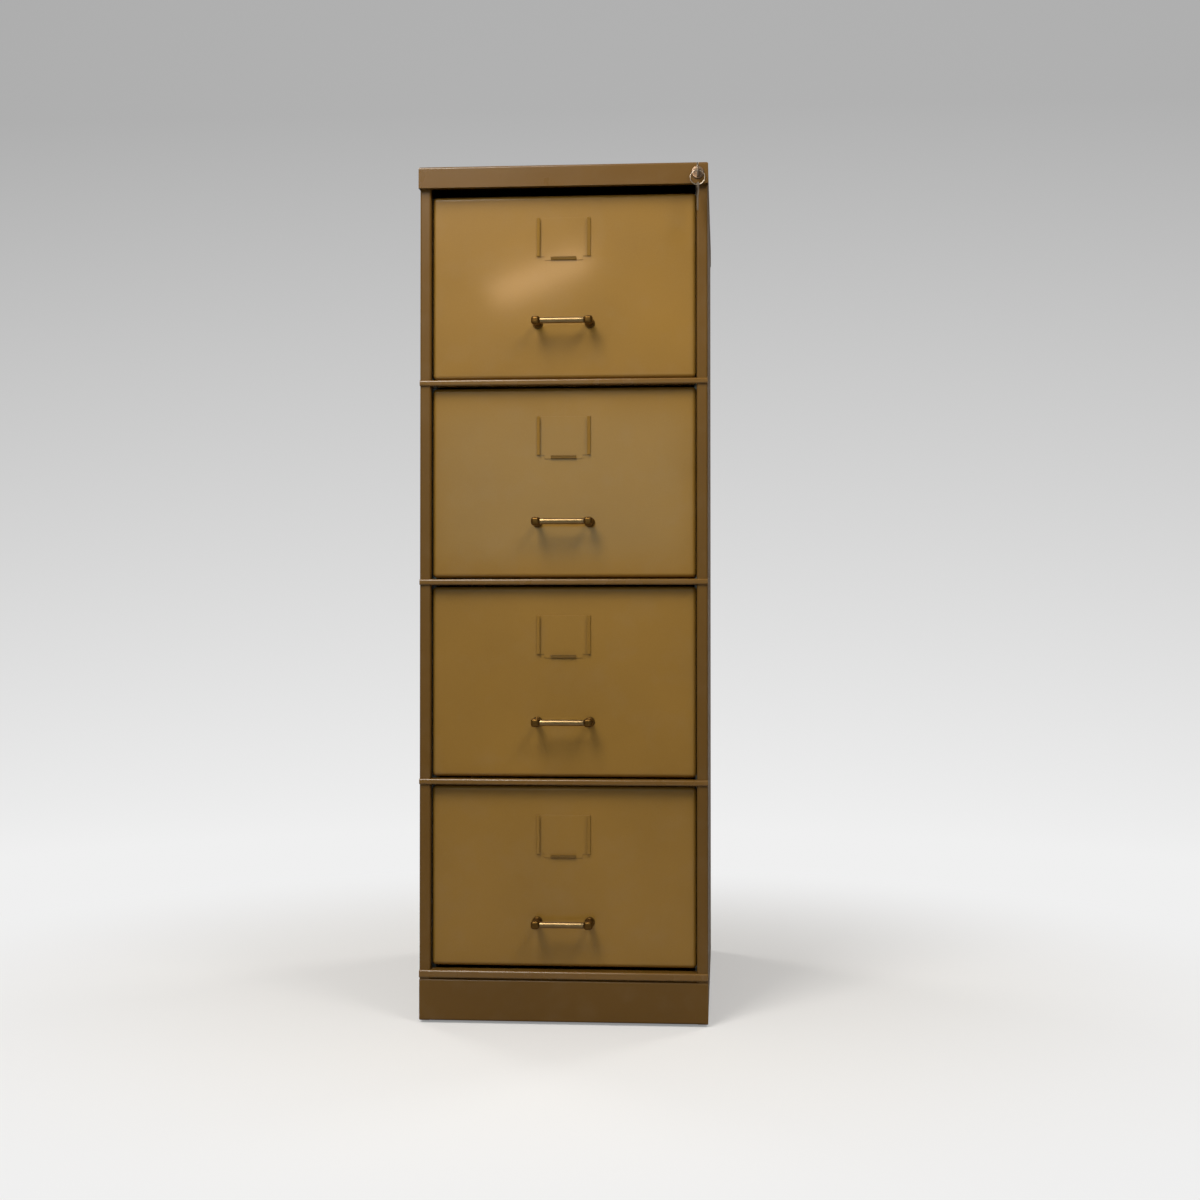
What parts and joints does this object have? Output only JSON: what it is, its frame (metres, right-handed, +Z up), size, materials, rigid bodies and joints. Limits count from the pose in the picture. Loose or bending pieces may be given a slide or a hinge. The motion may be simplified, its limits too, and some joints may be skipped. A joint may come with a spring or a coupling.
{
  "type": "filing cabinet",
  "caption": "Upright steel filing cabinet with full-extension drawers, bar handles, card holders and a cam lock that bars every drawer at once.",
  "frame": {"origin": "on the floor, centred under the outline of the closed cabinet including the keys", "axes": "+Z up, drawers open towards -Y, +X to the right of a person facing the drawers"},
  "size_m": [0.45, 0.6506, 1.33],
  "materials": {
    "carcass_paint": "semi-gloss stoved enamel, dark brown",
    "front_paint": "semi-gloss stoved enamel, tan",
    "tray_paint": "semi-gloss stoved enamel, dark brown",
    "galvanised_steel": "zinc-coated sheet",
    "slide_steel": "rolled, bright zinc plating, thin grease",
    "polished_bar": "polished plating with fine wear",
    "bronze_posts": "dark bronze enamel, semi-gloss",
    "zinc_screws": "zinc plating",
    "lock_plating": "nickel plating, worn",
    "key_plating": "nickel plating, worn",
    "feet": "black nylon"
  },
  "bodies": {
    "cabinet": {"side_panel_left": "carcass_paint", "side_panel_right": "carcass_paint", "back_panel": "carcass_paint", "top_cap": "carcass_paint", "floor_pan": "carcass_paint", "plinth": "carcass_paint", "cross_rails": "carcass_paint", "front_uprights": "galvanised_steel", "rear_uprights": "galvanised_steel", "outer_slides": "slide_steel", "levelling_feet": "feet", "lock_housing": "lock_plating", "lock_bar_guides": "slide_steel"},
    "drawer_1": {"front_panel_1": "front_paint", "front_liner_1": "tray_paint", "tray_1": "tray_paint", "lock_catch_1": "slide_steel", "inner_slides_1": "slide_steel", "handle_bar_1": "polished_bar", "handle_posts_1": "bronze_posts", "handle_screws_1": "zinc_screws", "card_holder_1": "front_paint"},
    "middle_slide_pair_1": {"middle_slides_1": "slide_steel"},
    "drawer_2": {"front_panel_2": "front_paint", "front_liner_2": "tray_paint", "tray_2": "tray_paint", "lock_catch_2": "slide_steel", "inner_slides_2": "slide_steel", "handle_bar_2": "polished_bar", "handle_posts_2": "bronze_posts", "handle_screws_2": "zinc_screws", "card_holder_2": "front_paint"},
    "middle_slide_pair_2": {"middle_slides_2": "slide_steel"},
    "drawer_3": {"front_panel_3": "front_paint", "front_liner_3": "tray_paint", "tray_3": "tray_paint", "lock_catch_3": "slide_steel", "inner_slides_3": "slide_steel", "handle_bar_3": "polished_bar", "handle_posts_3": "bronze_posts", "handle_screws_3": "zinc_screws", "card_holder_3": "front_paint"},
    "middle_slide_pair_3": {"middle_slides_3": "slide_steel"},
    "drawer_4": {"front_panel_4": "front_paint", "front_liner_4": "tray_paint", "tray_4": "tray_paint", "lock_catch_4": "slide_steel", "inner_slides_4": "slide_steel", "handle_bar_4": "polished_bar", "handle_posts_4": "bronze_posts", "handle_screws_4": "zinc_screws", "card_holder_4": "front_paint"},
    "middle_slide_pair_4": {"middle_slides_4": "slide_steel"},
    "lock_cylinder": {"lock_plug": "lock_plating", "lock_cam": "lock_plating"},
    "locking_bar": {"lock_bar": "slide_steel", "lock_bar_tabs": "slide_steel"},
    "key_in_lock": {"key": "key_plating"},
    "ring": {"key_ring": "key_plating"},
    "hanging_key": {"spare_key": "key_plating"}
  },
  "joints": [
    {"name": "drawer_1_slide", "type": "slide", "parent": "cabinet", "child": "drawer_1", "axis": [0, -1, 0], "range_m": [0, 0.54]},
    {"name": "middle_slide_1_travel", "type": "slide", "parent": "cabinet", "child": "middle_slide_pair_1", "axis": [0, -1, 0], "range_m": [0, 0.27]},
    {"name": "drawer_2_slide", "type": "slide", "parent": "cabinet", "child": "drawer_2", "axis": [0, -1, 0], "range_m": [0, 0.54]},
    {"name": "middle_slide_2_travel", "type": "slide", "parent": "cabinet", "child": "middle_slide_pair_2", "axis": [0, -1, 0], "range_m": [0, 0.27]},
    {"name": "drawer_3_slide", "type": "slide", "parent": "cabinet", "child": "drawer_3", "axis": [0, -1, 0], "range_m": [0, 0.54]},
    {"name": "middle_slide_3_travel", "type": "slide", "parent": "cabinet", "child": "middle_slide_pair_3", "axis": [0, -1, 0], "range_m": [0, 0.27]},
    {"name": "drawer_4_slide", "type": "slide", "parent": "cabinet", "child": "drawer_4", "axis": [0, -1, 0], "range_m": [0, 0.54]},
    {"name": "middle_slide_4_travel", "type": "slide", "parent": "cabinet", "child": "middle_slide_pair_4", "axis": [0, -1, 0], "range_m": [0, 0.27]},
    {"name": "lock_turn", "type": "hinge", "parent": "cabinet", "child": "lock_cylinder", "pos_m": [0.209, -0.29473, 1.3135], "axis": [0, 1, 0], "range_deg": [0, 90]},
    {"name": "lock_bar_lift", "type": "slide", "parent": "cabinet", "child": "locking_bar", "axis": [0, 0, 1], "range_m": [0, 0.01273]},
    {"name": "key_pull", "type": "slide", "parent": "lock_cylinder", "child": "key_in_lock", "axis": [0, -1, 0], "range_m": [0, 0.03]},
    {"name": "ring_swing", "type": "hinge", "parent": "key_in_lock", "child": "ring", "pos_m": [0.209, -0.31472, 1.31158], "axis": [-1, 0, 0], "range_deg": [-5, 60]},
    {"name": "spare_key_swing", "type": "hinge", "parent": "ring", "child": "hanging_key", "pos_m": [0.209, -0.31472, 1.28958], "axis": [-1, 0, 0], "range_deg": [-5, 45]}
  ],
  "couplings": [
    {"joint": "middle_slide_1_travel", "follows": "drawer_1_slide", "ratio": 0.5},
    {"joint": "middle_slide_2_travel", "follows": "drawer_2_slide", "ratio": 0.5},
    {"joint": "middle_slide_3_travel", "follows": "drawer_3_slide", "ratio": 0.5},
    {"joint": "middle_slide_4_travel", "follows": "drawer_4_slide", "ratio": 0.5},
    {"joint": "lock_bar_lift", "follows": "lock_turn", "m_per_rad": 0.008103}
  ]
}
